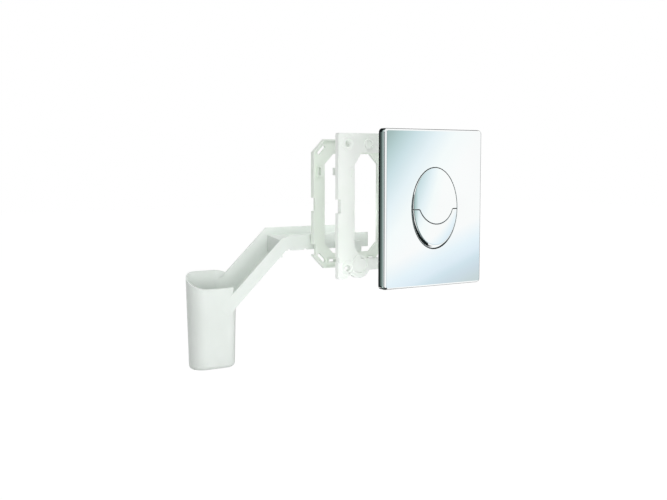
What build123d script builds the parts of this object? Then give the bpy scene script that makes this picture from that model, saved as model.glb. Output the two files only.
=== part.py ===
from build123d import *
import os
from math import atan2, cos, degrees, hypot, radians, sin, sqrt, tan

# A dual-flush wall plate, drawn apart along its own axis from its carrier frame, mounting frame and chute.
# Millimetres. X runs right for someone facing the plate, Y runs into the wall and Z runs up.
# The origin is the centre of the mounting frame's back face.

# Fits
slide_fit = 0.4
seat_gap = 0.3
pin_fit = 0.06
press_fit_gap = 0.02

# How far the pieces stand apart before they are pushed home
carrier_gap = 64.0
plate_gap = 99.0

# Mounting frame
mount_width = 130.0
mount_height = 178.0
mount_corner = 18.0
mount_bar = 20.0
mount_window_corner = 14.0
mount_web = 4.0
mount_rim = 2.0
mount_rim_height = 3.0
fixing_slot_length = 16.0
fixing_slot_width = 5.0
fixing_slot_inset = 8.0
middle_notch_length = 18.0
middle_notch_depth = 4.0
low_notch_length = 14.0
low_notch_depth = 5.0
low_notch_drop = 62.0
socket_wall = 1.6

# Carrier frame
carrier_clearance = 1.0
carrier_depth = 7.0
carrier_skin = 2.5
carrier_wall = 2.0
carrier_corner = 3.0
carrier_window_cut_width = 11.0
carrier_window_cut_height = 16.0
carrier_standoff = 4.0
carrier_notch_length = 18.0
carrier_notch_depth = 4.0
carrier_nick_length = 7.0
carrier_nick_depth = 1.5
carrier_nick_drop = 70.0
lobe_radius = 18.0
lobe_inset = 34.0
lower_edge_rise = 10.0
corner_pad_width = 15.0
ring_rise = 1.2
corner_ring_radius = 10.0
corner_ring_wall = 2.2
small_ring_radius = 7.0
small_ring_wall = 2.0
small_ring_x = 26.0
corner_panel_width = 26.0
corner_panel_height = 29.5
corner_panel_rise = 0.6
arm_pocket_width = 7.4
arm_pocket_height = 14.0
arm_pocket_offset = 2.0
arm_pocket_depth = 1.0
dish_radius = 13.0
dish_wall = 2.0

# Arms on the carrier frame that plug into the mounting frame
arm_thickness = 3.0
arm_width = 10.0
arm_length = 34.0
upper_arm_z = 45.0
lower_arm_x = 34.0
arm_tooth_depth = 0.7
arm_tooth_pitch = 4.0
arm_tooth_count = 5
arm_side_land = 6.0
arm_end_land = 9.0
ring_side_land = 1.0
ring_end_land = 1.5

# Cover plate
plate_width = 156.0
plate_height = 197.0
plate_depth = 13.0
plate_skin = 2.2
plate_wall = 2.0
plate_corner = 5.0
plate_shoulder_depth = 3.5
plate_shoulder_inset = 0.5
plate_bevel_depth = 1.6
plate_bevel_width = 2.2
plate_to_carrier = 4.0
peg_radius = 4.0
peg_inset_x = 18.0
peg_inset_z = 17.0
peg_tip = 1.0
oval_width = 74.0
oval_height = 103.0
collar_wall = 1.5
collar_depth = 4.0
boss_radius = 3.5
boss_height = 6.0
boss_offset = 4.5
boss_turn = 40.7

# Buttons
button_gap = 0.9
split_gap = 1.0
split_drop = 1.0
tongue_depth = 18.6
tongue_radius = 27.7
tongue_corner = 2.5
cap_depth = 7.0
cap_wall = 1.8
crown_height = 5.3
crown_drop = 12.5
crown_length_radius = 400.0
crown_width_radius = 180.0
lean_start = 1.0
lean_side = 3.3
lean_top = 1.0
lean_bottom = 6.0
lean_height = 7.0

# Levers, hinges and bellows behind the buttons
lever_front = 3.6
lever_web = 1.8
lug_thickness = 2.8
lug_radius = 3.2
pusher_radius = 7.0
hinge_depth = 9.0
pin_radius = 1.5
upper_hinge_inset = 11.5
lower_hinge_drop = 11.0
upper_lug_x = 11.5
lower_lug_inset = 7.0
cheek_thickness = 2.2
cheek_gap = 0.5
cheek_width = 6.0
cheek_top = 6.3
housing_wall = 2.0
housing_gap = 0.5
housing_depth = 22.0
housing_floor = 2.0
ear_thickness = 2.0
ear_radius = 4.5
bellows_top = 10.0
bellows_wall = 1.2
bellows_folds = 3
upper_bellows_radius = 12.0
upper_bellows_z = 9.0
lower_bellows_radius = 10.0
lower_bellows_inset = 16.5
bellows_fold_depth = 2.0
bellows_foot_height = 1.2
bellows_foot_width = 2.0
ring_height = 2.0
ring_width = 2.0
spigot_stem = 4.0
spigot_rise = 15.0
duct_radius = 6.0
duct_depth = 5.0
duct_wall = 1.5
spigot_radius = 3.0
spigot_bore = 2.0
spigot_length = 14.0
spigot_lead = 0.6
screw_radius = 1.3
screw_length = 7.0
screw_head_radius = 2.8
screw_head_height = 1.8
screw_recess_radius = 1.1
screw_recess_depth = 1.0

# Tab chute
chute_front = 8.0
chute_depth = 40.0
chute_wall = 2.0
chute_clearance = 7.5
chute_front_height = 16.5
chute_back_height = 28.5
chute_inlet = 37.0
chute_bend = -99.0
chute_slope = 43.0
shelf_rise = 12.5
shelf_tilt = 6.0
shelf_reach = 9.0
level_rim_rise = 2.6
level_rim_ramp = 6.0
apron_drop = 1.5
apron_notch_length = 5.0
apron_notch_height = 3.5
apron_notch_first = 4.0
apron_notch_pitch = 26.0
apron_notch_count = 3
bend_rib_length = 10.0
bend_rib_drop = 10.5
cup_reach = 105.5
cup_width = 68.0
cup_height = 107.5
cup_drop = 47.0
cup_rim_rise = 20.5
cup_taper = 1.4
cup_foot_radius = 6.0
hanger_x = 14.0
hanger_width = 12.0
hanger_thickness = 3.0
hanger_foot = 7.0
hanger_lift = 4.0
hanger_rise = 3.5
hook_width = 8.0
hook_thickness = 2.4
hook_barb = 2.0

# Places worked out from the sizes above
sides = (-1, 1)
mount_front = -mount_web - mount_rim_height
side_bar_x = (mount_width - mount_bar) / 2
lower_bar_z = (mount_bar - mount_height) / 2
carrier_width = plate_width - 2 * (plate_wall + carrier_clearance)
carrier_height = plate_height - 2 * (plate_wall + carrier_clearance)
carrier_back = mount_front - carrier_standoff - carrier_gap
carrier_front = carrier_back - carrier_depth
plate_front = carrier_front - plate_to_carrier - plate_skin - plate_gap
button_rx = oval_width / 2 - button_gap
button_rz = oval_height / 2 - button_gap
housing_rx = oval_width / 2 + collar_wall + housing_gap
housing_rz = oval_height / 2 + collar_wall + housing_gap
floor_front = plate_front + housing_depth - housing_floor
floor_back = plate_front + housing_depth
lever_back = plate_front + lever_front + lever_web
hinge_y = plate_front + hinge_depth
lobe_x = carrier_width / 2 - lobe_inset
lobe_z = lobe_radius - carrier_height / 2
peg_x = plate_width / 2 - peg_inset_x
peg_z = plate_height / 2 - peg_inset_z
window_half_width = min(side_bar_x - arm_side_land, peg_x - corner_ring_radius - ring_side_land)
window_half_height = min(-lower_bar_z - arm_end_land, peg_z - corner_ring_radius - ring_end_land)
boss_x = (housing_rx + housing_wall + boss_offset) * cos(radians(boss_turn))
boss_z = (housing_rz + housing_wall + boss_offset) * sin(radians(boss_turn))
upper_hinge_z = oval_height / 2 - upper_hinge_inset
lower_hinge_z = -split_drop - lower_hinge_drop
lower_lug_x = oval_width / 2 - lower_lug_inset
lower_bellows_z = lower_bellows_inset - oval_height / 2
chute_floor = lower_bar_z + mount_bar / 2 + chute_clearance
chute_back = chute_front + chute_depth
chute_middle = chute_front + chute_depth / 2
shelf_left = chute_bend - shelf_reach
cup_x = chute_bend - cup_reach
cup_rim_front = chute_floor - cup_drop
cup_rim_back = cup_rim_front + cup_rim_rise
cup_bottom = cup_rim_front - cup_height


def facing(back):
    """Drawing plane seen from the front, where an extrusion grows towards the viewer."""
    return Plane(origin=(0, back, 0), x_dir=(1, 0, 0), z_dir=(0, -1, 0))


def slab(sketch, back, depth):
    """Sketch of the front view, extruded forwards from its back."""
    return extrude(facing(back) * sketch, depth)


def block(x, y, z):
    """Box between two limits on each axis."""
    size = [high - low for low, high in (x, y, z)]
    middle = [(high + low) / 2 for low, high in (x, y, z)]
    return Pos(*middle) * Box(*size)


def rod(x, z, back, radius, length):
    """Round bar along Y, from its back forwards."""
    return slab(Pos(x, z) * Circle(radius), back, length)


def cross_pin(low, high, y, z, radius):
    """Round bar along X."""
    return Pos((low + high) / 2, y, z) * Rot(0, 90, 0) * Cylinder(radius, high - low)


def cut_rectangle(width, height, corner_x, corner_z):
    """Rectangle with a straight cut across each corner."""
    points = []
    for side_x, side_z, along in ((1, -1, 0), (1, 1, 1), (-1, 1, 0), (-1, -1, 1)):
        upright = (side_x * width / 2, side_z * (height / 2 - corner_z))
        level = (side_x * (width / 2 - corner_x), side_z * height / 2)
        points += [upright, level] if along else [level, upright]
    return Polygon(*points, align=None)


def arm_places():
    """Middle and front-view size of each carrier arm."""
    for side in sides:
        yield side * side_bar_x, upper_arm_z, arm_thickness, arm_width
        yield side * lower_arm_x, lower_bar_z, arm_width, arm_thickness


def mounting_frame():
    """Eight-sided moulded frame with a raised rim, corner slots and collared sockets for the arms."""
    outline = cut_rectangle(mount_width, mount_height, mount_corner, mount_corner)
    window = cut_rectangle(
        mount_width - 2 * mount_bar, mount_height - 2 * mount_bar, mount_window_corner, mount_window_corner
    )
    frame = slab(outline - window, 0, mount_web)
    rim = outline - offset(outline, -mount_rim, kind=Kind.INTERSECTION)
    frame += slab(rim, -mount_web, mount_rim_height)
    for x, z, width, height in arm_places():
        collar = Rectangle(width + 2 * (slide_fit + socket_wall), height + 2 * (slide_fit + socket_wall))
        hole = Rectangle(width + 2 * slide_fit, height + 2 * slide_fit)
        frame += slab(Pos(x, z) * collar, -mount_web, mount_rim_height)
        frame -= slab(Pos(x, z) * hole, 0, mount_web + mount_rim_height)
    slot_x = mount_width / 2 - mount_corner / 2 - fixing_slot_inset / sqrt(2)
    slot_z = mount_height / 2 - mount_corner / 2 - fixing_slot_inset / sqrt(2)
    for side in sides:
        for end in sides:
            slot = Rot(0, 0, -45 * side * end) * SlotOverall(fixing_slot_length, fixing_slot_width)
            frame -= slab(Pos(side * slot_x, end * slot_z) * slot, 0, mount_web)
        middle = Rectangle(2 * middle_notch_depth, middle_notch_length)
        low = Rectangle(2 * low_notch_depth, low_notch_length)
        frame -= slab(Pos(side * mount_width / 2, 0) * middle, 0, -mount_front)
        frame -= slab(Pos(side * mount_width / 2, -low_notch_drop) * low, 0, -mount_front)
        hook_slot = Rectangle(hook_width + 2 * slide_fit, hook_thickness + hook_barb + 2 * slide_fit)
        frame -= slab(Pos(side * hanger_x, lower_bar_z + hook_barb / 2) * hook_slot, 0, mount_web)
    return frame


def carrier_outline():
    """Front view of the carrier frame, with its lower edge dropped to pads and lobes near the corners."""
    top = carrier_height / 2
    lower = lower_edge_rise - top
    outline = Pos(0, (top + lower) / 2) * Rectangle(carrier_width, top - lower)
    for side in sides:
        pad_x = side * (carrier_width - corner_pad_width) / 2
        outline += Pos(pad_x, 0) * Rectangle(corner_pad_width, carrier_height)
        outline += Pos(side * lobe_x, lobe_z) * Circle(lobe_radius)
    for side in sides:
        edge = side * carrier_width / 2
        outline -= Pos(edge, 0) * Rectangle(2 * carrier_notch_depth, carrier_notch_length)
        outline -= Pos(edge, -carrier_nick_drop) * Rectangle(2 * carrier_nick_depth, carrier_nick_length)
        for end in sides:
            step = Rectangle(2 * carrier_corner, 2 * carrier_corner)
            round_corner = Pos(-side * carrier_corner, -end * carrier_corner) * Circle(carrier_corner)
            outline -= Pos(edge, end * top) * (step - round_corner)
    return outline


def carrier_frame():
    """Moulded frame, hollow behind, with ring bosses on its face, peg sockets and arms to the rear."""
    outline = carrier_outline()
    window = cut_rectangle(
        2 * window_half_width, 2 * window_half_height, carrier_window_cut_width, carrier_window_cut_height
    )
    frame = slab(outline - window, carrier_back, carrier_depth)
    hollow = offset(outline, -carrier_wall, kind=Kind.INTERSECTION)
    hollow -= offset(window, carrier_wall, kind=Kind.INTERSECTION)
    frame -= slab(hollow, carrier_back, carrier_depth - carrier_skin)
    socket_radius = peg_radius + slide_fit
    for side in sides:
        panel_x = side * (carrier_width - corner_panel_width) / 2
        panel_z = (carrier_height - corner_panel_height) / 2
        panel = outline & Pos(panel_x, panel_z) * Rectangle(corner_panel_width, corner_panel_height)
        frame += slab(panel, carrier_front, corner_panel_rise)
        pocket = Rectangle(arm_pocket_width, arm_pocket_height)
        pocket = Pos(side * (side_bar_x + arm_pocket_offset), upper_arm_z) * pocket
        frame -= slab(pocket, carrier_front + arm_pocket_depth, arm_pocket_depth)
        for end in sides:
            x, z = side * peg_x, end * peg_z
            frame += rod(x, z, carrier_back, socket_radius + carrier_wall, carrier_depth)
            ring = Circle(corner_ring_radius) - Circle(corner_ring_radius - corner_ring_wall)
            frame += slab(Pos(x, z) * ring, carrier_front, ring_rise)
            frame -= rod(x, z, carrier_back, socket_radius, carrier_depth + ring_rise)
        small_ring = Circle(small_ring_radius) - Circle(small_ring_radius - small_ring_wall)
        frame += slab(Pos(side * small_ring_x, peg_z) * small_ring, carrier_front, ring_rise)
        dish = Circle(dish_radius) - Circle(dish_radius - dish_wall)
        dish -= Pos(side * (peg_x - lobe_x), -peg_z - lobe_z) * Circle(corner_ring_radius)
        frame += slab(Pos(side * lobe_x, lobe_z) * dish, carrier_front, ring_rise)
    for x, z, width, height in arm_places():
        frame += carrier_arm(x, z, width, height)
    return frame


def carrier_arm(x, z, width, height):
    """Flat arm to the rear, toothed along its outer side near the tip."""
    root = carrier_front + carrier_skin / 2
    tip = carrier_back + arm_length
    arm = block((x - width / 2, x + width / 2), (root, tip), (z - height / 2, z + height / 2))
    out_x, out_z = ((x > 0) - (x < 0), 0) if width < height else (0, -1)
    for tooth in range(arm_tooth_count):
        y = tip - arm_tooth_pitch * (tooth + 1)
        groove = Box(width, arm_tooth_pitch / 2, height)
        arm -= Pos(x + out_x * (width - arm_tooth_depth), y, z + out_z * (height - arm_tooth_depth)) * groove
    return arm


def cover_plate():
    """Chrome shell: straight skirt, slim shoulder and bevel, oval opening, pegs and screw bosses behind."""
    plate_back = plate_front + plate_depth
    skirt_depth = plate_depth - plate_shoulder_depth - plate_bevel_depth
    outline = RectangleRounded(plate_width, plate_height, plate_corner)
    inset = 2 * plate_shoulder_inset
    neck = RectangleRounded(plate_width - inset, plate_height - inset, plate_corner - plate_shoulder_inset)
    inset += 2 * plate_bevel_width
    face = RectangleRounded(
        plate_width - inset, plate_height - inset, plate_corner - plate_shoulder_inset - plate_bevel_width
    )
    neck_y = plate_front + plate_bevel_depth
    plate = slab(outline, plate_back, skirt_depth)
    plate += loft([facing(neck_y + plate_shoulder_depth) * outline, facing(neck_y) * neck])
    plate += loft([facing(neck_y) * neck, facing(plate_front) * face])
    inside = RectangleRounded(
        plate_width - 2 * plate_wall, plate_height - 2 * plate_wall, plate_corner - plate_wall
    )
    plate -= slab(inside, plate_back, plate_depth - plate_skin)
    oval = Ellipse(oval_width / 2, oval_height / 2)
    collar = Ellipse(oval_width / 2 + collar_wall, oval_height / 2 + collar_wall)
    plate += slab(collar, plate_front + collar_depth, collar_depth - plate_skin / 2)
    plate -= slab(oval, plate_back, 2 * plate_depth)
    peg_length = plate_to_carrier + carrier_depth
    peg_back = plate_front + plate_skin + peg_length
    for side in sides:
        for end in sides:
            peg = rod(side * peg_x, end * peg_z, peg_back, peg_radius, peg_length + plate_skin / 2)
            plate += chamfer(peg.edges().group_by(Axis.Y)[-1], peg_tip)
            boss_back = plate_front + plate_skin + boss_height
            plate += rod(side * boss_x, end * boss_z, boss_back, boss_radius, boss_height + plate_skin / 2)
            pilot = screw_radius + press_fit_gap
            pilot_depth = screw_length - ear_thickness + seat_gap
            plate -= rod(side * boss_x, end * boss_z, boss_back, pilot, pilot_depth)
    return plate


def egg(inset, drop):
    """Egg-shaped button blank: the rim leans in most at its lower end, the crown curves both ways."""
    rx = button_rx - inset
    rz = button_rz - inset
    lean_y = plate_front + lean_start
    foot = Ellipse(rx, rz)
    lean_middle = (lean_bottom + lean_top) / 2
    brow = Pos(0, (lean_bottom - lean_top) / 2) * Ellipse(rx - lean_side, rz - lean_middle)
    blank = slab(foot, plate_front + cap_depth, cap_depth - lean_start)
    blank += loft([facing(lean_y) * foot, facing(lean_y - lean_height) * brow])
    return blank & crown(drop)


def crown(drop):
    """Barrel whose skin is the crown of the buttons, lowered by drop."""
    half = button_rx + split_gap
    sag = crown_width_radius - sqrt(crown_width_radius**2 - half**2)
    axis_y = plate_front - crown_height + drop + crown_length_radius
    level = Plane(origin=(0, axis_y, -crown_drop), x_dir=(1, 0, 0), z_dir=(0, 0, -1))
    top = crown_length_radius
    arch = ThreePointArc((-half, top - sag), (0, top), (half, top - sag))
    base = Polyline((half, top - sag), (half, 0), (-half, 0), (-half, top - sag))
    return revolve(level * make_face([arch, base]), Axis((0, axis_y, -crown_drop), (1, 0, 0)))


def upper_region(shrink):
    """Front view of the upper button's share of the egg: all above the split, and a round tongue below."""
    tongue_z = tongue_radius - tongue_depth - split_drop
    region = Pos(0, oval_height / 2 - split_drop) * Rectangle(2 * oval_width, oval_height)
    region += Pos(0, tongue_z) * Circle(tongue_radius)
    on_split = region.vertices().filter_by(lambda v: abs(v.Y + split_drop) < 0.01)
    corners = on_split.filter_by(lambda v: abs(v.X) < oval_width / 2)
    return offset(fillet(corners, tongue_corner), -shrink, kind=Kind.INTERSECTION)


def upper_share(solid, shrink):
    """The upper button's share of a solid behind or in front of the plate's face."""
    return solid & slab(upper_region(shrink), plate_front + housing_depth, 2 * housing_depth)


def lower_share(solid, shrink):
    """The lower button's share of a solid behind or in front of the plate's face."""
    return solid - slab(upper_region(-shrink), plate_front + housing_depth, 2 * housing_depth)


def cap(share):
    """Hollow chrome cap of one button."""
    hollow = egg(cap_wall, cap_wall)
    return share(egg(0, 0), split_gap / 2) - share(hollow, split_gap / 2 + cap_wall)


def lever(share, hinge_z, lug_x, pusher_z):
    """Web that fills a cap from behind, with two hinge lugs and a pusher for the bellows."""
    inset = cap_wall + seat_gap
    web = slab(Ellipse(button_rx - inset, button_rz - inset), lever_back, lever_web)
    body = share(web, split_gap / 2 + inset)
    pusher_back = plate_front + bellows_top - seat_gap
    body += rod(0, pusher_z, pusher_back, pusher_radius, pusher_back - lever_back + lever_web / 2)
    for side in sides:
        low = side * lug_x - lug_thickness / 2
        high = side * lug_x + lug_thickness / 2
        rise = (hinge_z - lug_radius, hinge_z + lug_radius)
        lug = cross_pin(low, high, hinge_y, hinge_z, lug_radius)
        lug += block((low, high), (lever_back - lever_web / 2, hinge_y), rise)
        body += lug - cross_pin(low, high, hinge_y, hinge_z, pin_radius + pin_fit)
    return body


def cheek_span(lug_x, side, outside):
    """X limits of a hinge cheek beside a lug, on its outer or inner side."""
    inner = lug_x + lug_thickness / 2 + cheek_gap
    if not outside:
        inner = lug_x - lug_thickness / 2 - cheek_gap - cheek_thickness
    return sorted((side * inner, side * (inner + cheek_thickness)))


def upper_hinge_pin():
    """Steel pin through both cheeks and both lugs of the upper button."""
    low = cheek_span(upper_lug_x, -1, True)[0]
    return cross_pin(low, -low, hinge_y, upper_hinge_z, pin_radius)


def lower_hinge_pins():
    """Two steel stub pins, each from a cheek through one lug of the lower button."""
    inner = cheek_span(lower_lug_x, 1, False)[0]
    outer = lower_lug_x + lug_thickness / 2
    pins = []
    for side in sides:
        low, high = sorted((side * inner, side * outer))
        pins.append(cross_pin(low, high, hinge_y, lower_hinge_z, pin_radius))
    return Compound(children=pins)


def button_housing():
    """Oval tray with a floor for the bellows, ears for the screws and cheeks for the hinge pins."""
    outer = Ellipse(housing_rx + housing_wall, housing_rz + housing_wall)
    tray = slab(outer, floor_back, housing_depth - plate_skin - seat_gap)
    tray -= slab(Ellipse(housing_rx, housing_rz), floor_front, housing_depth)
    ear_back = plate_front + plate_skin + boss_height + ear_thickness
    reach = hypot(boss_x / (housing_rx + housing_wall), boss_z / (housing_rz + housing_wall))
    for side in sides:
        for end in sides:
            foot = (side * boss_x / reach, end * boss_z / reach)
            tip = (side * boss_x, end * boss_z)
            middle = Pos((foot[0] + tip[0]) / 2, (foot[1] + tip[1]) / 2)
            length = hypot(tip[0] - foot[0], tip[1] - foot[1])
            turn = degrees(atan2(tip[1] - foot[1], tip[0] - foot[0]))
            ear = middle * Rot(0, 0, turn) * SlotCenterToCenter(length, 2 * ear_radius)
            ear -= Ellipse(housing_rx + housing_wall / 2, housing_rz + housing_wall / 2)
            tray += slab(ear, ear_back, ear_thickness)
            tray -= rod(*tip, ear_back, screw_radius + slide_fit, ear_thickness)
    for hinge_z, lug_x, outside in ((upper_hinge_z, upper_lug_x, True), (lower_hinge_z, lower_lug_x, False)):
        for side in sides:
            span = cheek_span(lug_x, side, outside)
            rise = (hinge_z - cheek_width / 2, hinge_z + cheek_width / 2)
            tray += block(span, (plate_front + cheek_top, floor_front + housing_floor / 2), rise)
            tray -= cross_pin(*span, hinge_y, hinge_z, pin_radius + press_fit_gap)
    for z in (upper_bellows_z, lower_bellows_z):
        tray -= rod(0, z, floor_back, spigot_stem + press_fit_gap, housing_floor)
    return tray


def housing_screws():
    """Four pan-head screws through the tray's ears."""
    head_front = plate_front + plate_skin + boss_height + ear_thickness
    head_back = head_front + screw_head_height
    screws = []
    for side in sides:
        for end in sides:
            x, z = side * boss_x, end * boss_z
            screw = rod(x, z, head_back, screw_head_radius, screw_head_height)
            screw += rod(x, z, head_front, screw_radius, screw_length)
            recess = slab(Pos(x, z) * RegularPolygon(screw_recess_radius, 6), head_back, screw_recess_depth)
            screws.append(screw - recess)
    return Compound(children=screws)


def bellows(z, radius):
    """Folded rubber bellows standing on the tray's floor, open at its foot and closed at its top."""
    height = housing_depth - housing_floor - bellows_top
    fold = (height - bellows_foot_height - bellows_wall) / bellows_folds
    valley = radius - bellows_fold_depth
    outside = [(radius + bellows_foot_width, 0), (radius + bellows_foot_width, bellows_foot_height)]
    for turn in range(bellows_folds):
        start = bellows_foot_height + turn * fold
        outside += [(valley, start), (radius, start + fold / 2)]
    outside += [(valley, height - bellows_wall), (valley, height), (0, height)]
    inside = [(0, height - bellows_wall)]
    for turn in reversed(range(bellows_folds)):
        start = bellows_foot_height + turn * fold
        inside += [(valley - bellows_wall, start + fold), (radius - bellows_wall, start + fold / 2)]
    inside += [(valley - bellows_wall, bellows_foot_height), (valley - bellows_wall, 0)]
    level = Plane(origin=(0, floor_front, z), x_dir=(1, 0, 0), z_dir=(0, 0, -1))
    return revolve(level * Polygon(*outside, *inside, align=None), Axis((0, floor_front, z), (0, 1, 0)))


def bellows_ring(z, radius):
    """Ring that holds the bellows' foot down, with a lip over it."""
    inner = radius + bellows_foot_width + press_fit_gap
    ring = Circle(inner + ring_width) - Circle(inner)
    lip = Circle(inner + ring_width) - Circle(radius + seat_gap)
    body = slab(Pos(0, z) * ring, floor_front, bellows_foot_height + press_fit_gap)
    return body + slab(Pos(0, z) * lip, floor_front - bellows_foot_height - press_fit_gap, ring_height)


def hose_spigot(z):
    """Spigot for an air hose, on a flat duct that leads up the tray's back from a stem through its floor."""
    duct_back = floor_back + duct_depth
    tip = duct_back + spigot_length
    spigot_z = z + spigot_rise
    middle = Pos(0, z + spigot_rise / 2) * Rot(0, 0, 90)
    spigot = rod(0, spigot_z, tip, spigot_radius, spigot_length)
    spigot = chamfer(spigot.edges().group_by(Axis.Y)[-1], spigot_lead)
    spigot += slab(middle * SlotCenterToCenter(spigot_rise, 2 * duct_radius), duct_back, duct_depth)
    spigot += rod(0, z, floor_back, spigot_stem, housing_floor)
    channel = middle * SlotCenterToCenter(spigot_rise, 2 * spigot_bore)
    spigot -= slab(channel, duct_back - duct_wall, duct_depth - 2 * duct_wall)
    spigot -= rod(0, spigot_z, tip, spigot_bore, spigot_length + duct_wall)
    return spigot - rod(0, z, floor_back + duct_wall, spigot_bore, duct_wall + housing_floor)


def chute_band(high):
    """Side view of the chute's run, from its floor to a height: level first, then down into the cup."""
    slope = radians(chute_slope)
    end_x = cup_x + (cup_width - chute_depth) / 2
    end_z = chute_floor - (chute_bend - end_x) * tan(slope)
    return Polygon(
        (chute_inlet, chute_floor + high),
        (chute_bend - high * tan(slope / 2), chute_floor + high),
        (end_x - high * sin(slope), end_z + high * cos(slope)),
        (end_x, end_z),
        (chute_bend, chute_floor),
        (chute_inlet, chute_floor),
        align=None,
    )


def cup_blank(inset, top, bottom):
    """Tapered cup body between two levels, its full size where the chute's floor comes in."""
    entry = chute_floor - (chute_bend - cup_x - cup_width / 2) * tan(radians(chute_slope))
    faces = []
    for level in (bottom, top):
        grow = 2 * ((level - entry) * tan(radians(cup_taper)) - inset)
        stadium = SlotOverall(cup_width + grow, chute_depth + grow)
        faces.append(Pos(cup_x, chute_middle, level) * stadium)
    return loft(faces)


def hanger(x):
    """Foot against the back of the mounting frame's lower bar, with a hook through the bar."""
    span = (x - hanger_width / 2, x + hanger_width / 2)
    low = chute_floor + hanger_lift
    top = low + hanger_rise
    body = block(span, (0, hanger_thickness), (lower_bar_z - hanger_foot, top))
    body += block(span, (0, chute_front + chute_wall / 2), (low, top))
    hook_span = (x - hook_width / 2, x + hook_width / 2)
    barb_back = -mount_web - seat_gap
    barb_front = barb_back - hook_barb
    hook = lower_bar_z - hook_thickness / 2
    body += block(hook_span, (barb_front, hanger_thickness / 2), (hook, hook + hook_thickness))
    return body + block(hook_span, (barb_front, barb_back), (hook, hook + hook_thickness + hook_barb))


def shelf_prism(inset, bottom):
    """Bar under the level channel's tilted floor, from the lip over the slope to the inlet."""
    front, back = chute_front + inset, chute_back - inset
    top = chute_floor + shelf_rise - inset
    profile = Polygon((front, bottom), (back, bottom), (back, top + shelf_tilt), (front, top), align=None)
    start = Plane(origin=(shelf_left + inset, 0, 0), x_dir=(0, 1, 0), z_dir=(1, 0, 0))
    return extrude(start * profile, chute_inlet - shelf_left - 2 * inset)


def level_front():
    """Front of the level channel: a raised rim with a ramp, a notched apron and a rib under the bend."""
    shelf = chute_floor + shelf_rise
    wall_top = chute_floor + chute_front_height
    ramp_start = chute_bend - level_rim_ramp / 2
    rim = Polygon(
        (ramp_start, shelf),
        (chute_inlet, shelf),
        (chute_inlet, wall_top + level_rim_rise),
        (ramp_start + level_rim_ramp, wall_top + level_rim_rise),
        (ramp_start, wall_top),
        align=None,
    )
    front = slab(rim, chute_front + chute_wall, chute_wall) + apron(chute_front)
    thickness = (chute_front, chute_front + chute_wall)
    bottom = chute_floor - apron_drop
    for notch in range(apron_notch_count):
        x = chute_bend + apron_notch_first + apron_notch_pitch * notch
        span = (x - apron_notch_length / 2, x + apron_notch_length / 2)
        front -= block(span, thickness, (bottom, bottom + apron_notch_height))
    rib_right = shelf_left + chute_wall
    rib_span = (rib_right - bend_rib_length, rib_right)
    return front + block(rib_span, thickness, (chute_floor - bend_rib_drop, chute_floor))


def apron(front):
    """Straight lower edge of a wall of the level channel."""
    height = (chute_floor - apron_drop, chute_floor + chute_wall)
    return block((chute_bend, chute_inlet), (front, front + chute_wall), height)


def tab_chute():
    """One moulding: level channel behind the window, slope and cup, hung on the mounting frame."""
    cup = cup_blank(0, cup_rim_back + chute_back_height, cup_bottom)
    cup = fillet(cup.edges().group_by(Axis.Z)[0], cup_foot_radius)
    rim_slope = atan2(cup_rim_back - cup_rim_front, chute_depth)
    rim_z = (cup_rim_front + cup_rim_back) / 2
    rim = Plane(origin=(cup_x, chute_middle, rim_z), x_dir=(1, 0, 0)).rotated((degrees(rim_slope), 0, 0))
    cup = split(cup, bisect_by=rim, keep=Keep.BOTTOM)
    back_view = chute_band(chute_back_height)
    chute = cup + slab(back_view, chute_back, chute_wall)
    chute += slab(chute_band(chute_wall), chute_back, chute_depth)
    chute += slab(chute_band(chute_front_height), chute_front + chute_wall, chute_wall)
    for side in sides:
        chute += hanger(side * hanger_x)
    inside = chute_band(chute_back_height + chute_wall) - chute_band(chute_wall)
    chute -= slab(inside, chute_back - chute_wall, chute_depth - 2 * chute_wall)
    hollow = cup_blank(chute_wall, cup_rim_back + chute_back_height, cup_bottom + chute_wall)
    chute -= fillet(hollow.edges().group_by(Axis.Z)[0], cup_foot_radius - chute_wall)
    chute += shelf_prism(0, cup_rim_front) & slab(back_view, chute_back, chute_depth)
    chute -= shelf_prism(chute_wall, cup_rim_front)
    end_wall = (chute_inlet - chute_wall, chute_inlet)
    chute += block(end_wall, (chute_front, chute_back), (chute_floor, chute_floor + chute_front_height))
    return chute + level_front() + apron(chute_back - chute_wall)


nodes = {
    "mounting_frame": mounting_frame(),
    "tab_chute": tab_chute(),
    "carrier_frame": carrier_frame(),
    "cover_plate": cover_plate(),
    "upper_button_cap": cap(upper_share),
    "lower_button_cap": cap(lower_share),
    "upper_button_lever": lever(upper_share, upper_hinge_z, upper_lug_x, upper_bellows_z),
    "lower_button_lever": lever(lower_share, lower_hinge_z, lower_lug_x, lower_bellows_z),
    "upper_hinge_pin": upper_hinge_pin(),
    "lower_hinge_pins": lower_hinge_pins(),
    "button_housing": button_housing(),
    "housing_screws": housing_screws(),
    "upper_bellows": bellows(upper_bellows_z, upper_bellows_radius),
    "lower_bellows": bellows(lower_bellows_z, lower_bellows_radius),
    "upper_bellows_ring": bellows_ring(upper_bellows_z, upper_bellows_radius),
    "lower_bellows_ring": bellows_ring(lower_bellows_z, lower_bellows_radius),
    "upper_hose_spigot": hose_spigot(upper_bellows_z),
    "lower_hose_spigot": hose_spigot(lower_bellows_z),
}
os.makedirs("parts", exist_ok=True)
for name, solid in nodes.items():
    export_step(solid, f"parts/{name}.step")
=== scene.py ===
"""Flush plate in a plain studio: chrome plate and buttons, moulded frames and chute, rubber bellows."""
import math

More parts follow.
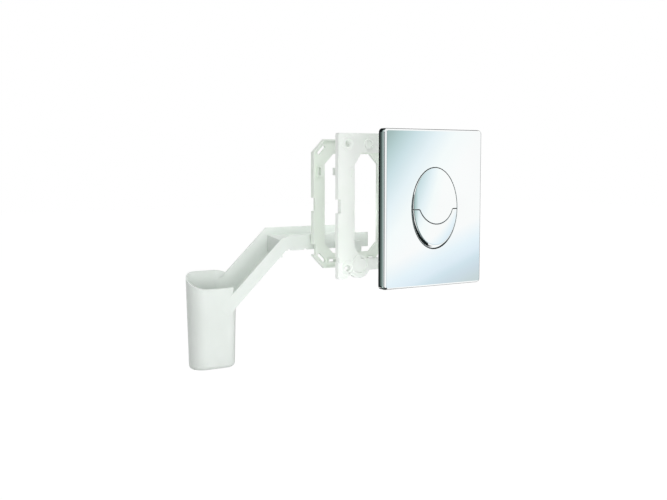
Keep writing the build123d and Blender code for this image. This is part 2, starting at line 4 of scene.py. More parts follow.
import bmesh
import bpy
import numpy as np
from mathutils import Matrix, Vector


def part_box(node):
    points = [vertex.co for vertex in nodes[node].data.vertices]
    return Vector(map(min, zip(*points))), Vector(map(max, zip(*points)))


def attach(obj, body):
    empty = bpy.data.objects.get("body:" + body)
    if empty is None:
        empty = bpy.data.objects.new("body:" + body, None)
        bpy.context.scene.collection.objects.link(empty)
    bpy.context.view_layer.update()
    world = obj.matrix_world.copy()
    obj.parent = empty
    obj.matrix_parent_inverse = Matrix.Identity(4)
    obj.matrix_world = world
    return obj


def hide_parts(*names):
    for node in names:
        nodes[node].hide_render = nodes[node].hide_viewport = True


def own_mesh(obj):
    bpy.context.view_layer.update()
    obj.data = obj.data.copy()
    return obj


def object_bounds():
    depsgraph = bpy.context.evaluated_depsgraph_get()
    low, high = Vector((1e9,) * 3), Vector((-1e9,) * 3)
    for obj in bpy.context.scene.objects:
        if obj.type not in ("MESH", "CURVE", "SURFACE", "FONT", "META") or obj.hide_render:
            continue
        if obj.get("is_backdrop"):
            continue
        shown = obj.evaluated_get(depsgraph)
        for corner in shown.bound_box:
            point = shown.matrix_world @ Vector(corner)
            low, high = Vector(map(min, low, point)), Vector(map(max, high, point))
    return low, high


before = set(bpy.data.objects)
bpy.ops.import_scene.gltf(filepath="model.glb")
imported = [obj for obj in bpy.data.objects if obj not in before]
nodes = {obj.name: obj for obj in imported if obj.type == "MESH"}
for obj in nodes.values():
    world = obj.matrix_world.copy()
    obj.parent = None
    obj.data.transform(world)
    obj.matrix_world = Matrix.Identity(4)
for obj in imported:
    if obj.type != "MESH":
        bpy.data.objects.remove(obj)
cad_low, cad_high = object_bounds()

# Sizes in metres, and the lengths below which gaps, edges and rulings count as nothing
MM = 0.001
merge_distance = 1e-6
sliver_length = 1e-7
shortest_ruling = 1e-9

# Cover plate: outline and edge, oval opening, pegs, screw bosses
plate_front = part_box("cover_plate")[0].y
plate_width = 156 * MM
plate_height = 197 * MM
plate_depth = 13 * MM
plate_skin = 2.2 * MM
plate_wall = 2 * MM
plate_corner = 5 * MM
shoulder_depth = 3.5 * MM
shoulder_inset = 0.5 * MM
bevel_depth = 1.6 * MM
bevel_width = 2.2 * MM
bevel_round = 3 * MM
plate_edge_round = 0.3 * MM
face_margin = 3 * MM
oval_rx = 37 * MM
oval_rz = 51.5 * MM
oval_edge_round = 0.35 * MM
collar_wall = 1.5 * MM
collar_depth = 4 * MM
# Depth past which the collar's faces take the painted gap shade
collar_shade_depth = 0.5 * MM
peg_radius = 4 * MM
peg_length = 11 * MM
peg_tip = 1 * MM
peg_tip_round = peg_tip / 3
peg_x = 60 * MM
peg_z = 81.5 * MM
boss_radius = 3.5 * MM
boss_height = 6 * MM
boss_x = 34.49 * MM
boss_z = 39.12 * MM
pilot_radius = 1.3 * MM
pilot_depth = 0.9 * boss_height
plate_corners = {"ul": (-1, 1), "ur": (1, 1), "ll": (-1, -1), "lr": (1, -1)}

# Buttons: rim, split line with its tongue, arched crown, leaning edge
button_rx = 36.1 * MM
button_rz = 50.6 * MM
button_depth = 7 * MM
button_wall = 1.8 * MM
split_z = -1 * MM
split_half_gap = 0.5 * MM
split_edge_round = 0.5 * MM
tongue_z = 8.1 * MM
tongue_radius = 27.7 * MM
tongue_corner = 2.5 * MM
crown_height = 5.3 * MM
crown_z = -12.5 * MM
crown_length_radius = 400 * MM
crown_width_radius = 180 * MM
crown_edge_blend = 1.4 * MM
lean_start = 1 * MM
lean_height = 7 * MM
lean_side = 3.3 * MM
lean_top = 1 * MM
lean_bottom = 6 * MM
least_lean, most_lean = -0.2, 1.6
lean_halvings = 40
# Depth past which the cap's walls take the painted gap shade
cap_shade_depth = 1 * MM

# Bellows: folded wall, foot, and the share of its height that each keeps when its button is pressed home
tray_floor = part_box("upper_bellows")[1].y
bellows_folds = 3
bellows_wall = 1.1 * MM
bellows_fold_depth = 2 * MM
bellows_foot = 1.2 * MM
bellows_foot_width = 2 * MM
pressed_share = {"upper": 0.75, "lower": 0.73}


# Mesh helpers

def piece(name, points, quads, body, material, slot):
    """Closed mesh from arrays of points and faces, its doubles merged and its faces turned outwards."""
    mesh = bpy.data.meshes.new(name)
    mesh.from_pydata(points, [], quads)
    work = bmesh.new()
    work.from_mesh(mesh)
    bmesh.ops.remove_doubles(work, verts=work.verts, dist=merge_distance)
    bmesh.ops.dissolve_degenerate(work, edges=work.edges, dist=sliver_length)
    bmesh.ops.recalc_face_normals(work, faces=work.faces)
    work.to_mesh(mesh)
    work.free()
    mesh.polygons.foreach_set("use_smooth", np.ones(len(mesh.polygons), bool))
    mesh.materials.append(material)
    made = bpy.data.objects.new(name, mesh)
    bpy.context.scene.collection.objects.link(made)
    keep_flats = made.modifiers.new("flats stay flat", "WEIGHTED_NORMAL")
    keep_flats.keep_sharp = True
    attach(made, body)
    return made


def ring_quads(rings, around):
    """Faces between rings of equal count, each closed on itself and the last one joined to the first."""
    row = np.arange(rings)[:, None]
    column = np.arange(around)[None, :]
    start = row * around
    next_start = (row + 1) % rings * around
    beside = (column + 1) % around
    corners = (start + column, start + beside, next_start + beside, next_start + column)
    return np.stack(corners, axis=-1).reshape(-1, 4)


def strip_quads(rows, columns):
    """Faces between rows of equal count, each open at its ends and the last one joined to the first."""
    row = np.arange(rows)[:, None]
    column = np.arange(columns - 1)[None, :]
    here = row * columns + column
    next_row = (row + 1) % rows * columns + column
    return np.stack((here, here + 1, next_row + 1, next_row), axis=-1).reshape(-1, 4)


def eased(corners, radii, steps=5):
    """Open line through the corners, each inner one replaced by an arc of its own radius.

    The arc's middle lies on the corner's bisector, and its points are a straight run between the two
    tangent points, pushed out to the radius.
    """
    corners = np.array(corners, float)
    radii = np.broadcast_to(radii, len(corners) - 2)
    line = [corners[:1]]
    for before, here, after, radius in zip(corners[:-2], corners[1:-1], corners[2:], radii):
        into = (before - here) / np.linalg.norm(before - here)
        out = (after - here) / np.linalg.norm(after - here)
        half = np.arccos(np.clip(into @ out, -1, 1)) / 2
        middle = here + (into + out) / np.linalg.norm(into + out) * radius / np.sin(half)
        start = here + into * radius / np.tan(half) - middle
        end = here + out * radius / np.tan(half) - middle
        share = np.linspace(0, 1, steps)[:, None]
        arc = start * (1 - share) + end * share
        line.append(middle + arc / np.linalg.norm(arc, axis=1, keepdims=True) * radius)
    line.append(corners[-1:])
    return np.concatenate(line)


def turned(profile, x, z, steps=48):
    """Points and faces of a profile of radius and depth, carried once round an axis along Y at x, z."""
    profile = np.array(profile, float)
    turn = np.linspace(0, 2 * np.pi, steps, endpoint=False)
    radius, depth = profile[:, :1], profile[:, 1:]
    points = np.stack([x + radius * np.cos(turn), depth + 0 * turn, z + radius * np.sin(turn)], axis=-1)
    return points.reshape(-1, 3), ring_quads(len(profile), steps)


def face_centres(made):
    """Centres of a piece's faces, one array for each axis."""
    centre = np.empty(3 * len(made.data.polygons))
    made.data.polygons.foreach_get("center", centre)
    return centre.reshape(-1, 3).T


def coated(made, material, faces):
    """Another finish on the faces that a true-or-false array picks."""
    index = np.empty(len(faces), np.int32)
    made.data.polygons.foreach_get("material_index", index)
    index[faces] = len(made.data.materials)
    made.data.materials.append(material)
    made.data.polygons.foreach_set("material_index", index)


# Materials

noise_low, noise_high = 0.3, 0.7


def finish(name):
    """New node material with its tree, its shader and the object's own coordinates."""
    material = bpy.data.materials.new(name)
    material.use_nodes = True
    tree = material.node_tree
    shader = tree.nodes["Principled BSDF"]
    place = tree.nodes.new("ShaderNodeTexCoord").outputs["Object"]
    return material, tree, shader, place


def speckle(tree, place, scale, detail):
    """Noise over the object's own coordinates, in features per metre."""
    noise = tree.nodes.new("ShaderNodeTexNoise")
    noise.inputs["Scale"].default_value = scale
    noise.inputs["Detail"].default_value = detail
    tree.links.new(place, noise.inputs["Vector"])
    return noise.outputs["Fac"]


def spread(tree, value, low, high):
    """The noise's usual range mapped onto another in a straight line."""
    node = tree.nodes.new("ShaderNodeMapRange")
    node.inputs["From Min"].default_value = noise_low
    node.inputs["From Max"].default_value = noise_high
    node.inputs["To Min"].default_value = low
    node.inputs["To Max"].default_value = high
    tree.links.new(value, node.inputs["Value"])
    return node.outputs["Result"]


def tint(tree, value, stops):
    """Colour ramp over a value, from (place, colour) stops."""
    ramp = tree.nodes.new("ShaderNodeValToRGB")
    band = ramp.color_ramp
    while len(band.elements) < len(stops):
        band.elements.new(0.5)
    for element, (at, colour) in zip(band.elements, stops):
        element.position = at
        element.color = (*colour, 1)
    tree.links.new(value, ramp.inputs["Fac"])
    return ramp.outputs["Color"]


def bump(tree, shader, height, strength, distance):
    """Fine relief on the shader's normal."""
    node = tree.nodes.new("ShaderNodeBump")
    node.inputs["Strength"].default_value = strength
    node.inputs["Distance"].default_value = distance
    tree.links.new(height, node.inputs["Height"])
    tree.links.new(node.outputs["Normal"], shader.inputs["Normal"])


def moulded_plastic(name, shade, light, grain, rough):
    """Milky moulded plastic: a faint cloudy tone, a fine sandy grain, light that soaks in a little."""
    material, tree, shader, place = finish(name)
    cloud = speckle(tree, place, scale=22, detail=4)
    colour = tint(tree, cloud, [(noise_low, shade), (noise_high, light)])
    tree.links.new(colour, shader.inputs["Base Color"])
    pitted = spread(tree, speckle(tree, place, scale=900, detail=2), low=rough - 0.05, high=rough + 0.06)
    tree.links.new(pitted, shader.inputs["Roughness"])
    sand = speckle(tree, place, scale=2600, detail=2)
    bump(tree, shader, sand, strength=grain, distance=0.00004)
    shader.inputs["Subsurface Weight"].default_value = 0.25
    shader.inputs["Subsurface Radius"].default_value = (0.004, 0.0045, 0.004)
    shader.inputs["Subsurface Scale"].default_value = 1.0
    shader.inputs["IOR"].default_value = 1.49
    return material


def chrome_plating(name, colour, rough, haze, deepest=0.985):
    """Plating: clear metal whose colour drifts a little, with a haze given as a share of its roughness."""
    material, tree, shader, place = finish(name)
    drift = speckle(tree, place, scale=16, detail=3)
    deep = tuple(channel * deepest for channel in colour)
    tree.links.new(tint(tree, drift, [(0.35, deep), (0.65, colour)]), shader.inputs["Base Color"])
    cloud = speckle(tree, place, scale=260, detail=4)
    cloudy = spread(tree, cloud, low=rough * (1 - haze), high=rough * (1 + haze))
    tree.links.new(cloudy, shader.inputs["Roughness"])
    shader.inputs["Metallic"].default_value = 1.0
    return material


def painted_shade_plastic(name):
    """Near-black plastic used as painted shade deep in the gaps round the buttons."""
    material, tree, shader, place = finish(name)
    cloud = speckle(tree, place, scale=120, detail=3)
    colour = tint(tree, cloud, [(noise_low, (0.035, 0.04, 0.04)), (noise_high, (0.05, 0.056, 0.056))])
    tree.links.new(colour, shader.inputs["Base Color"])
    tree.links.new(spread(tree, cloud, low=0.5, high=0.65), shader.inputs["Roughness"])
    return material


def drawn_steel(name):
    """Bright drawn steel wire: fine streaks along X."""
    material, tree, shader, place = finish(name)
    along = tree.nodes.new("ShaderNodeMapping")
    along.inputs["Scale"].default_value = (0.05, 1, 1)
    tree.links.new(place, along.inputs["Vector"])
    streak = speckle(tree, along.outputs["Vector"], scale=4000, detail=3)
    colour = tint(tree, streak, [(noise_low, (0.5, 0.5, 0.5)), (noise_high, (0.66, 0.66, 0.65))])
    tree.links.new(colour, shader.inputs["Base Color"])
    tree.links.new(spread(tree, streak, low=0.22, high=0.4), shader.inputs["Roughness"])
    shader.inputs["Metallic"].default_value = 1.0
    return material


def soft_rubber(name):
    """Black moulded rubber with a dusty bloom and a fine grain."""
    material, tree, shader, place = finish(name)
    bloom = speckle(tree, place, scale=300, detail=4)
    colour = tint(tree, bloom, [(0.35, (0.03, 0.03, 0.03)), (0.75, (0.075, 0.075, 0.075))])
    tree.links.new(colour, shader.inputs["Base Color"])
    tree.links.new(spread(tree, bloom, low=0.5, high=0.72), shader.inputs["Roughness"])
    grain = speckle(tree, place, scale=3500, detail=2)
    bump(tree, shader, grain, strength=0.2, distance=0.00003)
    return material


frame_plastic = moulded_plastic(
    "mounting frame plastic", shade=(0.82, 0.89, 0.81), light=(0.86, 0.93, 0.85), grain=0.25, rough=0.42
)
carrier_plastic = moulded_plastic(
    "carrier frame plastic", shade=(0.88, 0.94, 0.88), light=(0.92, 0.97, 0.92), grain=0.2, rough=0.36
)
chute_plastic = moulded_plastic(
    "chute plastic", shade=(0.76, 0.81, 0.77), light=(0.8, 0.85, 0.81), grain=0.2, rough=0.36
)
inner_plastic = moulded_plastic(
    "housing plastic", shade=(0.82, 0.82, 0.8), light=(0.88, 0.88, 0.86), grain=0.25, rough=0.45
)
plate_chrome = chrome_plating("plate chrome", colour=(0.95, 0.97, 0.97), rough=0.02, haze=0.45)
button_chrome = chrome_plating("button chrome", colour=(0.95, 0.97, 0.965), rough=0.03, haze=0.45)
back_chrome = chrome_plating("dull chrome", colour=(0.78, 0.8, 0.8), rough=0.38, haze=0.06)
# Painted shade: near-black finish for the faces deep in the gaps round the buttons
gap_shade_plastic = painted_shade_plastic("painted gap shade")
pin_steel = drawn_steel("pin steel")
bellows_rubber = soft_rubber("bellows rubber")

finishes = {
    "mounting_frame": frame_plastic,
    "carrier_frame": carrier_plastic,
    "tab_chute": chute_plastic,
    "cover_plate": plate_chrome,
    "upper_button_cap": button_chrome,
    "lower_button_cap": button_chrome,
    "upper_button_lever": inner_plastic,
    "lower_button_lever": inner_plastic,
    "button_housing": inner_plastic,
    "upper_bellows_ring": inner_plastic,
    "lower_bellows_ring": inner_plastic,
    "upper_hose_spigot": inner_plastic,
    "lower_hose_spigot": inner_plastic,
    "upper_bellows": bellows_rubber,
    "lower_bellows": bellows_rubber,
    "upper_hinge_pin": pin_steel,
    "lower_hinge_pins": pin_steel,
    "housing_screws": pin_steel,
}
for name, material in finishes.items():
    nodes[name].data.materials.clear()
    nodes[name].data.materials.append(material)


# Cover plate

def rounded_rectangle(inset, corner_steps=10, side_steps=12):
    """Closed path inset from the plate's outline: quarter circles about the corner centres, and sides."""
    turn = np.linspace(0, np.pi / 2, corner_steps)
    quarter = np.arange(4)[:, None] * np.pi / 2 + turn[None, :]
    across = np.array([1, -1, -1, 1])[:, None] * (plate_width / 2 - plate_corner)
    up = np.array([1, 1, -1, -1])[:, None] * (plate_height / 2 - plate_corner)
    corner = plate_corner - inset
    arcs = np.stack([across + corner * np.cos(quarter), up + corner * np.sin(quarter)], axis=-1)
    start = arcs[:, -1:]
    end = np.roll(arcs, -1, axis=0)[:, :1]
    share = np.linspace(0, 1, side_steps + 1, endpoint=False)[None, 1:, None]
    return np.concatenate([arcs, start + (end - start) * share], axis=1).reshape(-1, 2)


def plate_shell():
    """Plate: a profile round the outline and one round the oval, joined by the flat face and its back.

    Past the corner's radius, a further inset shrinks the whole path about the middle instead.
    """
    skirt = eased(
        [
            (plate_wall + face_margin, plate_skin),
            (plate_wall, plate_skin),
            (plate_wall, plate_depth),
            (0, plate_depth),
            (0, bevel_depth + shoulder_depth),
            (shoulder_inset, bevel_depth),
            (shoulder_inset + bevel_width, 0),
            (shoulder_inset + bevel_width + face_margin, 0),
        ],
        [plate_edge_round] * 4 + [bevel_round, plate_edge_round],
    )
    rim = eased(
        [
            (face_margin, 0),
            (0, 0),
            (0, collar_depth),
            (collar_wall, collar_depth),
            (collar_wall, plate_skin),
            (collar_wall + face_margin, plate_skin),
        ],
        oval_edge_round,
    )
    outline = rounded_rectangle(0)
    turn = np.arctan2(outline[:, 1] / plate_height, outline[:, 0] / plate_width)
    sharpest = plate_corner - plate_edge_round
    rings = []
    for inset, depth in skirt:
        path = rounded_rectangle(min(inset, sharpest)) * (1 - max(0, inset - sharpest) / (plate_width / 2))
        rings.append(np.column_stack([path[:, 0], np.full(len(path), plate_front + depth), path[:, 1]]))
    for offset, depth in rim:
        x = (oval_rx + offset) * np.cos(turn)
        z = (oval_rz + offset) * np.sin(turn)
        rings.append(np.column_stack([x, np.full(len(turn), plate_front + depth), z]))
    return np.concatenate(rings), ring_quads(len(rings), len(outline))


def peg_profile():
    """Peg behind the plate: straight, bevelled and rounded at its tip, its foot sunk in the skin."""
    foot = plate_front + plate_skin / 2
    tip = plate_front + plate_skin + peg_length
    bevel = [(peg_radius, tip - peg_tip), (peg_radius - peg_tip, tip)]
    side = eased([(peg_radius, foot), *bevel, (0, tip)], peg_tip_round)
    return np.concatenate([[(0, foot)], side])


def boss_profile():
    """Screw boss behind the plate, with a blind pilot hole in its end."""
    foot = plate_front + plate_skin / 2
    end = plate_front + plate_skin + boss_height
    bottom = end - pilot_depth
    corners = [(boss_radius, foot), (boss_radius, end), (pilot_radius, end), (pilot_radius, bottom)]
    side = eased(corners, plate_edge_round)
    return np.concatenate([[(0, foot)], side, [(0, bottom)]])


def dull_back(made, share=0.9):
    """Dull faces on the plate's back and inside its skirt: those past a share of the wall and the skin."""
    x, y, z = face_centres(made)
    within = np.maximum(np.abs(x) - plate_width / 2, np.abs(z) - plate_height / 2) < -share * plate_wall
    coated(made, back_chrome, within & (y > plate_front + share * plate_skin))


def shade_inside(made, depth, reach=1.2 * collar_wall):
    """Painted shade on faces within an oval a reach wider than the opening, deeper than a given depth."""
    x, y, z = face_centres(made)
    in_oval = (x / (oval_rx + reach)) ** 2 + (z / (oval_rz + reach)) ** 2 < 1
    coated(made, gap_shade_plastic, in_oval & (y > plate_front + depth))


shell = piece("plate_shell", *plate_shell(), "plate", plate_chrome, "chrome_plate")
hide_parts("cover_plate")
dull_back(shell)
# Painted shade on the collar deep in the oval
shade_inside(shell, collar_shade_depth)
for place, (right, up) in plate_corners.items():
    peg = turned(peg_profile(), right * peg_x, up * peg_z)
    piece(f"plate_peg_{place}", *peg, "plate", back_chrome, "chrome_plate")
    boss = turned(boss_profile(), right * boss_x, up * boss_z)
    piece(f"screw_boss_{place}", *boss, "plate", back_chrome, "chrome_plate")


# Buttons

def split_line(half_gap, level_steps=24, corner_steps=12, tongue_steps=40):
    """Line between the buttons, shifted by half its gap, from the rim on the left to the rim on the right.

    It runs level from the rim, turns down round a small circle, and follows the tongue's circle below. The
    small circle touches the level line and the tongue, and the right half mirrors the left.
    """
    level = split_z + half_gap
    radius = tongue_radius - half_gap
    corner = tongue_corner + half_gap
    corner_z = level - corner
    corner_x = math.sqrt((radius + corner) ** 2 - (corner_z - tongue_z) ** 2)
    lean = math.atan2(tongue_z - corner_z, corner_x)
    rim_x = button_rx * math.sqrt(1 - (level / button_rz) ** 2)
    flat = np.column_stack([np.linspace(-rim_x, -corner_x, level_steps), np.full(level_steps, level)])
    bend = np.linspace(math.pi / 2, lean, corner_steps)
    curve = np.column_stack([-corner_x + corner * np.cos(bend), corner_z + corner * np.sin(bend)])
    under = np.linspace(math.pi + lean, 1.5 * math.pi, tongue_steps)
    round_under = np.column_stack([radius * np.cos(under), tongue_z + radius * np.sin(under)])
    left = np.concatenate([flat, curve[1:], round_under[1:]])
    right = left[-2::-1] * np.array([-1, 1])
    return np.concatenate([left, right])


def rim_line(half_gap, over, like):
    """Button's oval rim from the split's left end to its right, over the top or under the bottom.

    Its points are spaced in angle as the points of the split are spaced in length.
    """
    start = math.asin((split_z + half_gap) / button_rz)
    pace = np.concatenate([[0], np.cumsum(np.linalg.norm(np.diff(like, axis=0), axis=1))])
    share = pace / pace[-1]
    turn = math.pi - start + share * (2 * start - math.pi if over else 2 * start + math.pi)
    return np.column_stack([button_rx * np.cos(turn), button_rz * np.sin(turn)])


def proud(x, z):
    """How far a button stands out of the plate's face: the lower of its crown and its leaning rim.

    The crown is an arch along Z whose radius is shortened by the sag of an arch along X. The rim is a stack
    of ovals that shrink and shift as they rise. A point's place in that stack is found by halving a range
    until the oval there passes through the point. A parabola over the blend's width rounds the line where
    the two meet.
    """
    side_sag = crown_width_radius - np.sqrt(crown_width_radius**2 - x**2)
    arch = np.sqrt((crown_length_radius - side_sag) ** 2 - (z - crown_z) ** 2)
    crown = crown_height - crown_length_radius + arch
    low, high = np.full_like(x, least_lean), np.full_like(x, most_lean)
    lean_middle = (lean_bottom + lean_top) / 2
    lean_shift = (lean_bottom - lean_top) / 2
    for _ in range(lean_halvings):
        share = (low + high) / 2
        rx = button_rx - lean_side * share
        rz = button_rz - lean_middle * share
        outside = (x / rx) ** 2 + ((z - lean_shift * share) / rz) ** 2 > 1
        low, high = np.where(outside, low, share), np.where(outside, share, high)
    rim = lean_height * low - lean_start
    overlap = np.clip(1 - np.abs(crown - rim) / crown_edge_blend, 0, 1)
    return np.minimum(crown, rim) - overlap**2 * crown_edge_blend / 4


def button_cap(half_gap, over, rows=84):
    """Cap: a sheet ruled from split to rim, raised by the proud height and rounded along the split.

    The points of a ruling are denser at both ends, by a cosine. Walls run back from the sheet's edges, and
    the hollow is the same sheet a wall's width further in, or half a ruling where that is less.
    """
    split = split_line(half_gap)
    rim = rim_line(half_gap, over, split)
    share = (1 - np.cos(np.pi * np.linspace(0, 1, rows)))[:, None] / 2
    span = np.linalg.norm(rim - split, axis=1)[None, :]

    def sheet(across, drop):
        """Places and depths at shares of the way from split to rim, a drop behind the outside."""
        flat = split[None] * (1 - across[..., None]) + rim[None] * across[..., None]
        near = np.clip(across * span, 0, split_edge_round)
        rounding = split_edge_round - np.sqrt(split_edge_round**2 - (split_edge_round - near) ** 2)
        depth = np.minimum(drop + rounding - proud(flat[..., 0], flat[..., 1]), button_depth)
        return flat, depth

    outer, outer_depth = sheet(share + 0 * span, 0)
    edge = np.clip(button_wall / np.maximum(span, shortest_ruling), 0, 0.5)
    inner, inner_depth = sheet(edge + share[::-1] * (1 - 2 * edge), button_wall)
    flats = np.concatenate([outer[:1], outer, outer[-1:], inner[:1], inner, inner[-1:]])
    back = np.full_like(outer_depth[:1], button_depth)
    depths = np.concatenate([back, outer_depth, back, back, inner_depth, back])
    points = np.stack([flats[..., 0], plate_front + depths, flats[..., 1]], axis=-1)
    return points.reshape(-1, 3), strip_quads(len(flats), len(split))


for level, half_gap in {"upper": split_half_gap, "lower": -split_half_gap}.items():
    raised = button_cap(half_gap, level == "upper")
    cap = piece(f"{level}_cap", *raised, f"{level}_button", button_chrome, "chrome_button")
    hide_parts(f"{level}_button_cap")
    # Painted shade on the cap's walls deep in the gap
    shade_inside(cap, cap_shade_depth)


# Bellows

def bellows_profile(radius, top, fold_steps=20):
    """Bellows: a flat foot, a cosine wave of folds, a closed top, and the same a wall's width inside."""
    rise = np.linspace(0, 1, fold_steps * bellows_folds)
    wave = (1 - np.cos(2 * np.pi * bellows_folds * rise)) / 2
    height = bellows_foot + rise * (top - bellows_foot - bellows_wall)
    outer = radius - bellows_fold_depth * (1 - wave)
    foot = radius + bellows_foot_width
    foot_edge = [(foot, 0), (foot, bellows_foot)]
    outside = np.column_stack([outer, height])
    closed_top = [(outer[-1], top), (0, top), (0, top - bellows_wall)]
    inside = np.column_stack([outer[::-1] - bellows_wall, height[::-1]])
    line = np.concatenate([foot_edge, outside, closed_top, inside, [(outer[0] - bellows_wall, 0)]])
    return np.column_stack([line[:, 0], tray_floor - line[:, 1]])


for level, keep in pressed_share.items():
    low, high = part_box(f"{level}_bellows")
    middle_z = (low.z + high.z) / 2
    height = high.y - low.y
    radius = (high.x - low.x) / 2 - bellows_foot_width
    folds = turned(bellows_profile(radius, height), 0, middle_z)
    soft = piece(f"{level}_rubber_bellows", *folds, "plate", bellows_rubber, "black_rubber")
    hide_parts(f"{level}_bellows")
    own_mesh(soft)


# Studio floor

floor_drop = 0.09
floor_z = cad_low.z - floor_drop
floor_half = 6
floor_white = (0.85, 0.85, 0.85, 1)
floor_faint = (0.1, 0.1, 0.1, 1)
floor_glow = 0.95


def stage_panel(name, corners, material):
    """Flat panel of the studio between four corners."""
    mesh = bpy.data.meshes.new(name)
    mesh.from_pydata(corners, [], [(0, 1, 2, 3)])
    mesh.materials.append(material)
    panel = bpy.data.objects.new(name, mesh)
    bpy.context.scene.collection.objects.link(panel)
    panel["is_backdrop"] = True
    return panel


def lying(left, right, front, back, height):
    """Corners of a level panel, from its ends along X and along Y."""
    return [(left, front, height), (right, front, height), (right, back, height), (left, back, height)]


def upright(left, right, low, high):
    """Corners of an upright panel, from its two ends in plan and its lower and upper edge."""
    return [(*left, low), (*right, low), (*right, high), (*left, high)]


def seen_plainly(tree):
    """1 for a ray from the camera or off a shiny or clear surface, 0 for light on its way to matt ones."""
    path = tree.nodes.new("ShaderNodeLightPath")
    total = path.outputs["Is Camera Ray"]
    for kind in ("Is Glossy Ray", "Is Transmission Ray"):
        node = tree.nodes.new("ShaderNodeMath")
        node.operation = "MAXIMUM"
        tree.links.new(total, node.inputs[0])
        tree.links.new(path.outputs[kind], node.inputs[1])
        total = node.outputs[0]
    return total


def white_floor():
    """Pale floor: shown almost white, with just enough of its own shading left to keep the shadow."""
    material = bpy.data.materials.new("pale floor")
    material.use_nodes = True
    tree = material.node_tree
    tree.nodes.remove(tree.nodes["Principled BSDF"])
    matt = tree.nodes.new("ShaderNodeBsdfDiffuse")
    matt.inputs["Color"].default_value = floor_white
    faint = tree.nodes.new("ShaderNodeBsdfDiffuse")
    faint.inputs["Color"].default_value = floor_faint
    glow = tree.nodes.new("ShaderNodeEmission")
    glow.inputs["Strength"].default_value = floor_glow
    both = tree.nodes.new("ShaderNodeAddShader")
    tree.links.new(faint.outputs[0], both.inputs[0])
    tree.links.new(glow.outputs[0], both.inputs[1])
    mix = tree.nodes.new("ShaderNodeMixShader")
    tree.links.new(seen_plainly(tree), mix.inputs[0])
    tree.links.new(matt.outputs[0], mix.inputs[1])
    tree.links.new(both.outputs[0], mix.inputs[2])
    tree.links.new(mix.outputs[0], tree.nodes["Material Output"].inputs["Surface"])
    return material


floor_corners = lying(-floor_half, floor_half, -floor_half, floor_half, floor_z)
stage_panel("floor", floor_corners, white_floor())


# Studio cards that the chrome mirrors

card_black = (0.01, 0.014, 0.014)
card_half = 0.3
card_lift = 0.002
low_z = floor_z + card_lift

# Front card, shaded over the part of it that the plate's face mirrors
card_left, card_width = 0.0112, 0.1757
card_top, card_height = 0.1039, 0.2218
card_distance = 0.12
card_y = plate_front - card_distance
front_corners = upright((-0.15, card_y), (0.3, card_y), -0.2, 0.2)
dusk_along = (1, 0, 1)
dusk_stops = [
    (0.08, (0.4, 0.53, 0.52)),
    (0.19, (0.5, 0.65, 0.66)),
    (0.34, (0.64, 0.78, 0.82)),
    (0.54, (0.83, 0.92, 0.96)),
    (0.74, (0.96, 1.0, 1.0)),
    (1.0, (1.0, 1.0, 1.0)),
]
blue_along = (0.145, 0, 0.5)
blue_stops = [
    (0.425, (1.0, 1.0, 1.0)),
    (0.49, (0.83, 0.93, 0.99)),
    (0.525, (0.77, 0.87, 0.95)),
    (0.55, (0.67, 0.8, 0.87)),
    (0.58, (0.64, 0.74, 0.81)),
    (0.62, (0.61, 0.7, 0.72)),
]
side_along = (1, 0, 0)
side_shift = 0.5
side_stops = [
    (0.2, (0.2, 0.24, 0.24)),
    (0.4, (0.42, 0.5, 0.48)),
    (0.46, (0.65, 0.73, 0.69)),
    (0.53, (1.0, 1.0, 1.0)),
]

# Edge card, striped for the plate's left side
edge_left, edge_right = (-0.1845, -0.1293), (-0.115, -0.083)
edge_along = (0.832, 0.555)
edge_start, edge_width = -0.23, 0.07
edge_stops = [
    (0.385, (0.27, 0.34, 0.33)),
    (0.398, (0.47, 0.58, 0.55)),
    (0.835, (0.47, 0.58, 0.55)),
    (0.85, (0.11, 0.155, 0.145)),
    (0.88, (0.08, 0.11, 0.1)),
    (0.89, card_black),
]

# Fading card on the floor, from black to white along X
fade_along = (1, 0)
fade_start, fade_end = 0.03, 0.14
fade_front, fade_back = -0.21, 0.12
fade_stops = [(0, card_black), (1, (1, 1, 1))]

dark_cards = {
    "left": upright((-0.7, -0.076), (-0.73, -0.44), -card_half, card_half),
    "rear right": upright((0.15, 0.42), (0.75, 0.05), -card_half, 0.72),
    "low left": lying(-0.75, 0.03, -0.36, 0.12, low_z),
    "rear top": upright(edge_right, (0.1, 0.0605), 0.11, card_half),
    "low right": lying(0.08, 0.6, -0.1, 0.4, low_z),
}


def card(name, corners, material):
    """Panel that only shiny surfaces see."""
    panel = stage_panel(name, corners, material)
    panel.visible_camera = False
    panel.visible_diffuse = False
    panel.visible_shadow = False
    panel.visible_transmission = False
    panel.visible_volume_scatter = False


def glowing(name):
    """New studio material that only shines, with its tree and its emission."""
    material = bpy.data.materials.new(name)
    material.use_nodes = True
    tree = material.node_tree
    tree.nodes.remove(tree.nodes["Principled BSDF"])
    glow = tree.nodes.new("ShaderNodeEmission")
    tree.links.new(glow.outputs[0], tree.nodes["Material Output"].inputs["Surface"])
    return material, tree, glow


def shade_along(tree, place, weights, shift, stops):
    """Colour ramp along a direction over the card, by a weighted sum of its coordinates and a shift."""
    along = tree.nodes.new("ShaderNodeVectorMath")
    along.operation = "DOT_PRODUCT"
    along.inputs[1].default_value = weights
    tree.links.new(place, along.inputs[0])
    moved = tree.nodes.new("ShaderNodeMath")
    moved.inputs[1].default_value = shift
    tree.links.new(along.outputs["Value"], moved.inputs[0])
    return tint(tree, moved.outputs[0], stops)


def multiplied(tree, first, second):
    """Product of two colours."""
    both = tree.nodes.new("ShaderNodeMix")
    both.data_type = "RGBA"
    both.blend_type = "MULTIPLY"
    both.inputs["Factor"].default_value = 1
    tree.links.new(first, both.inputs["A"])
    tree.links.new(second, both.inputs["B"])
    return both.outputs["Result"]


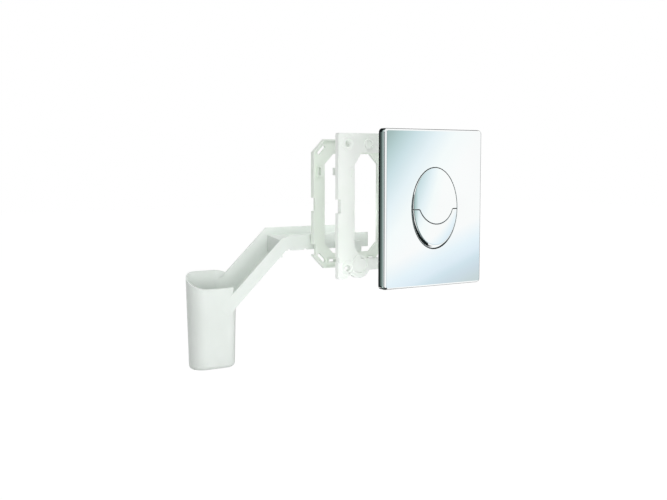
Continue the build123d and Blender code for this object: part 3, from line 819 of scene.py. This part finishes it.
def graded_card():
    """Front card's shading: grey-green high on the left and down that side, white, pale blue low right."""
    material, tree, glow = glowing("graded card")
    across = tree.nodes.new("ShaderNodeMapping")
    across.inputs["Location"].default_value = (-card_left / card_width, 0, card_top / card_height)
    across.inputs["Scale"].default_value = (1 / card_width, 0, -1 / card_height)
    tree.links.new(tree.nodes.new("ShaderNodeTexCoord").outputs["Object"], across.inputs["Vector"])
    place = across.outputs["Vector"]
    colour = shade_along(tree, place, dusk_along, 0, dusk_stops)
    colour = multiplied(tree, colour, shade_along(tree, place, blue_along, 0, blue_stops))
    colour = multiplied(tree, colour, shade_along(tree, place, side_along, side_shift, side_stops))
    tree.links.new(colour, glow.inputs["Color"])
    return material


def ramp_card(name, along, start, width, stops):
    """Card shaded over a width from a start, both measured along a direction in plan."""
    material, tree, glow = glowing(name)
    place = tree.nodes.new("ShaderNodeTexCoord").outputs["Object"]
    weights = (along[0] / width, along[1] / width, 0)
    tree.links.new(shade_along(tree, place, weights, -start / width, stops), glow.inputs["Color"])
    return material


def dark_card():
    """Plain dark studio card."""
    material, _, glow = glowing("dark card")
    glow.inputs["Color"].default_value = (*card_black, 1)
    return material


card("front card", front_corners, graded_card())
for name, corners in dark_cards.items():
    card(f"{name} card", corners, dark_card())
edge_material = ramp_card("edge card", edge_along, edge_start, edge_width, edge_stops)
card("edge card", upright(edge_left, edge_right, -card_half, card_half), edge_material)
fade_material = ramp_card("fading card", fade_along, fade_start, fade_end - fade_start, fade_stops)
card("fading card", lying(fade_start, fade_end, fade_front, fade_back, low_z), fade_material)


# Studio light

soft_light = 0.54


def studio_world():
    """White surroundings: full strength where they are seen, softer where they light matt surfaces."""
    world = bpy.data.worlds.new("studio")
    world.use_nodes = True
    tree = world.node_tree
    seen = tree.nodes["Background"]
    lit = tree.nodes.new("ShaderNodeBackground")
    for sky, strength in ((seen, 1), (lit, soft_light)):
        sky.inputs["Color"].default_value = (1, 1, 1, 1)
        sky.inputs["Strength"].default_value = strength
    mix = tree.nodes.new("ShaderNodeMixShader")
    tree.links.new(seen_plainly(tree), mix.inputs[0])
    tree.links.new(lit.outputs[0], mix.inputs[1])
    tree.links.new(seen.outputs[0], mix.inputs[2])
    tree.links.new(mix.outputs[0], tree.nodes["World Output"].inputs["Surface"])
    return world


def lamp(name, place, aim, size, power):
    """Soft lamp of a width and a height, aimed at a point, which shiny surfaces don't show."""
    data = bpy.data.lights.new(name, "AREA")
    data.shape = "RECTANGLE"
    data.size, data.size_y = size
    data.energy = power
    made = bpy.data.objects.new(name, data)
    made.location = place
    made.rotation_euler = (Vector(aim) - Vector(place)).to_track_quat("-Z", "Y").to_euler()
    made.visible_glossy = False
    bpy.context.scene.collection.objects.link(made)


bpy.context.scene.world = studio_world()
lamp("key", place=(-0.2, -1.15, 1.4), aim=(-0.1, -0.05, -0.05), size=(1, 1), power=10)
lamp("carrier", place=(-0.2, -0.36, -0.14), aim=(-0.04, -0.08, -0.04), size=(0.2, 0.2), power=0.55)
lamp("channel", place=(-0.03, 0.014, 0.005), aim=(-0.03, 0.046, -0.045), size=(0.16, 0.01), power=0.012)
lamp("window", place=(0, -0.006, -0.012), aim=(0, 0.05, -0.012), size=(0.08, 0.05), power=0.013)


# Camera, fitted to the plate's corners

picture_width = 667
focal_pixels = 980.3
sensor_width = 36
camera_place = (-0.7859, -1.1392, 0.0562)
yaw, pitch = math.radians(33.64), math.radians(5.06)

camera = bpy.data.objects.new("camera", bpy.data.cameras.new("camera"))
camera.data.sensor_width = sensor_width
camera.data.lens = focal_pixels / picture_width * sensor_width
camera.location = camera_place
ahead = Vector((math.sin(yaw) * math.cos(pitch), math.cos(yaw) * math.cos(pitch), -math.sin(pitch)))
camera.rotation_euler = ahead.to_track_quat("-Z", "Y").to_euler()
bpy.context.scene.collection.objects.link(camera)
bpy.context.scene.camera = camera
bpy.context.scene.view_settings.view_transform = "Standard"

low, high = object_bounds()
